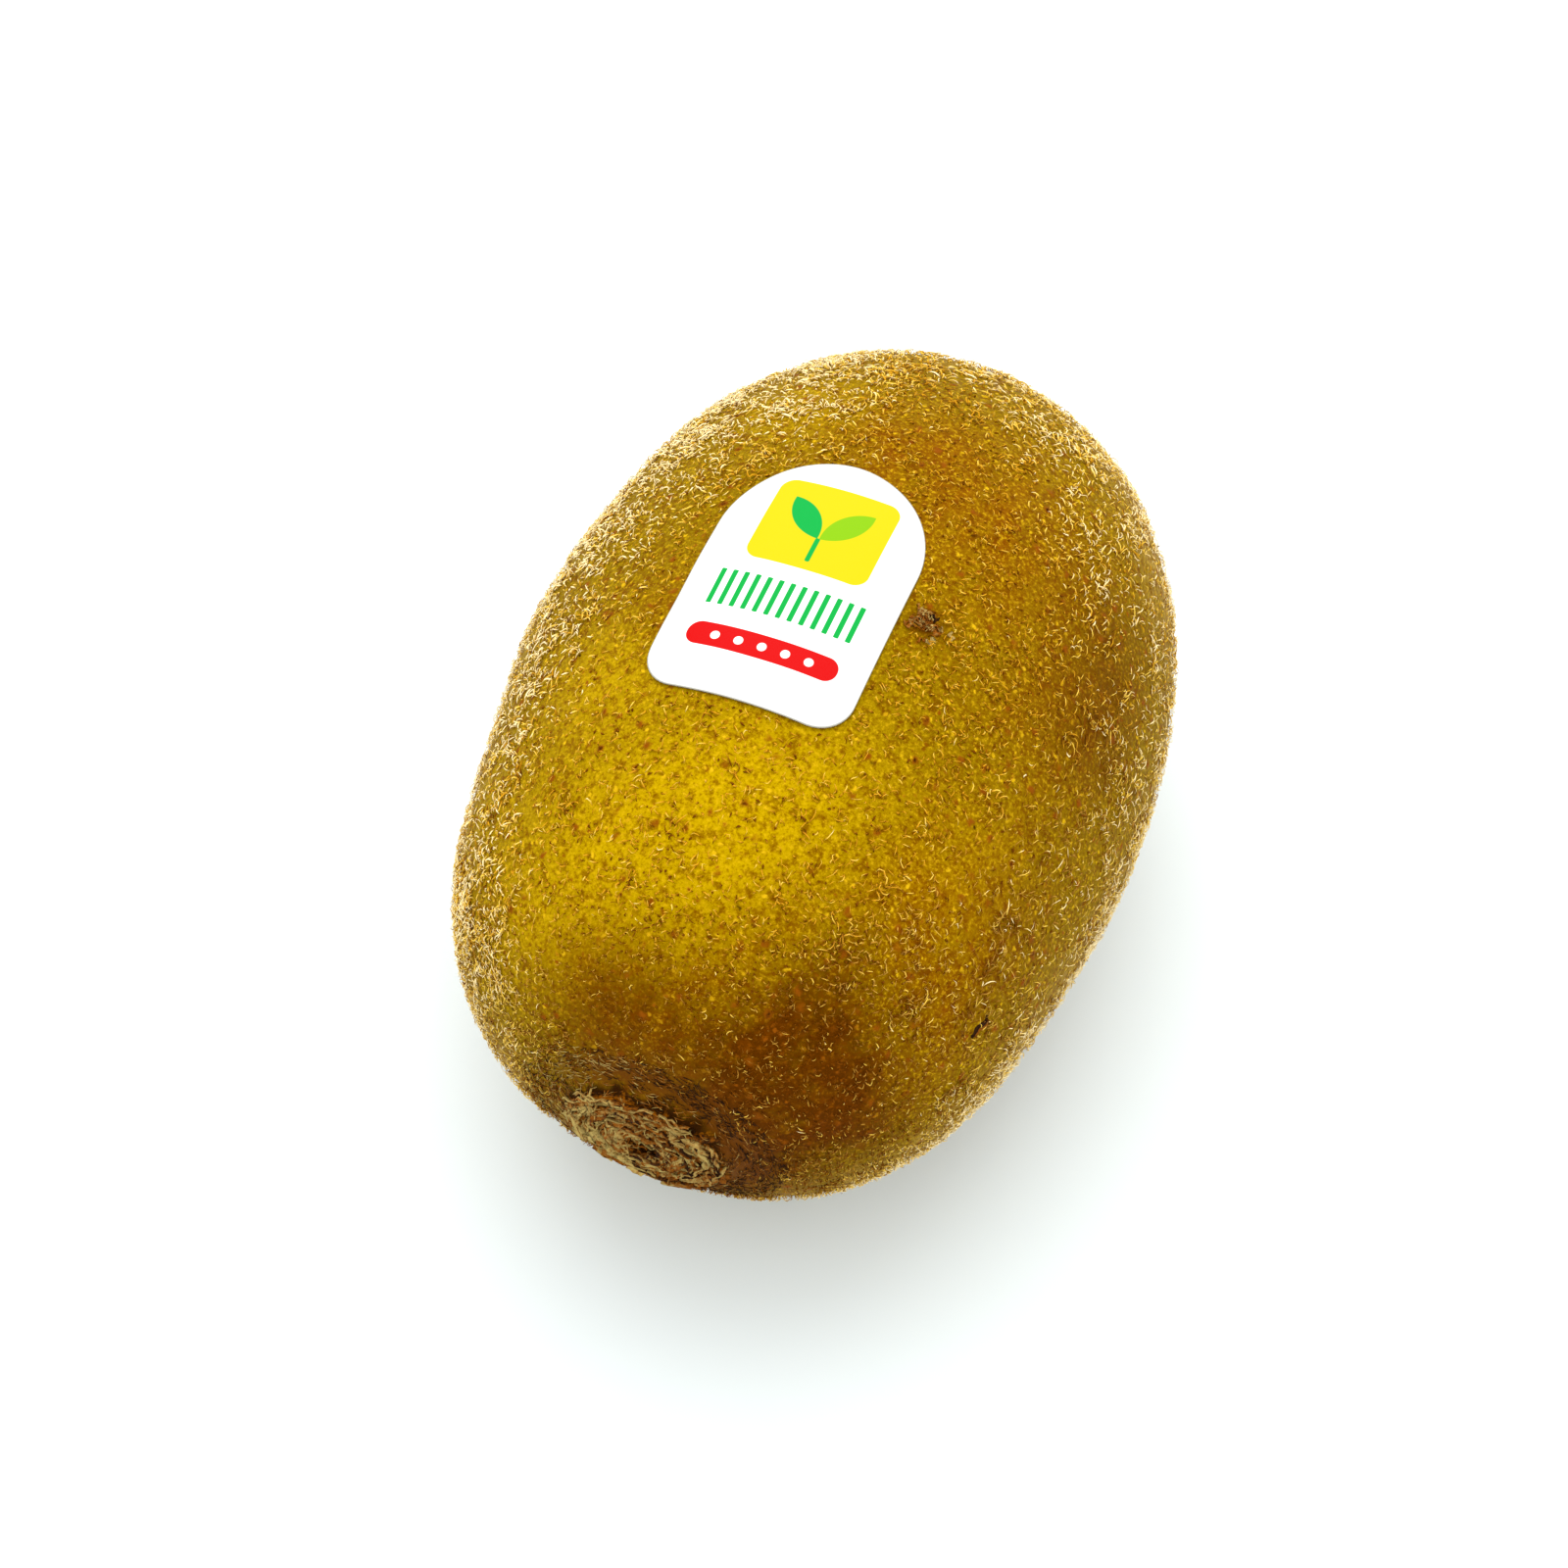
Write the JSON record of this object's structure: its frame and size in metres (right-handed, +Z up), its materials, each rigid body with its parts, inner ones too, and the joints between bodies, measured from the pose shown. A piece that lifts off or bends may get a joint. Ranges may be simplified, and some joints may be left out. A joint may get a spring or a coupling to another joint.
{
  "type": "golden kiwi fruit",
  "caption": "Whole golden kiwifruit lying on its side, with a corky stem scar, a sunken blossom end with dried styles, short fuzz and a small arch-topped fruit sticker.",
  "frame": {"origin": "on the surface the fruit rests on, under the middle of its box", "axes": "+Y runs from the stem end to the blossom end, +Z is up, and +X is to the right of someone who looks at the stem end"},
  "size_m": [0.0544, 0.08, 0.0483],
  "materials": {
    "skin": "thin olive-gold skin, matt to satin, with fine raised dots and russet patches",
    "fuzz": "short curled straw-gold hairs, paler at the tips",
    "dried_tissue": "dry, corky, torn, from rust brown to pale straw",
    "sticker": "thin white printed film, satin"
  },
  "bodies": {
    "root": {"fruit": "skin", "sticker": "sticker"}
  },
  "joints": []
}
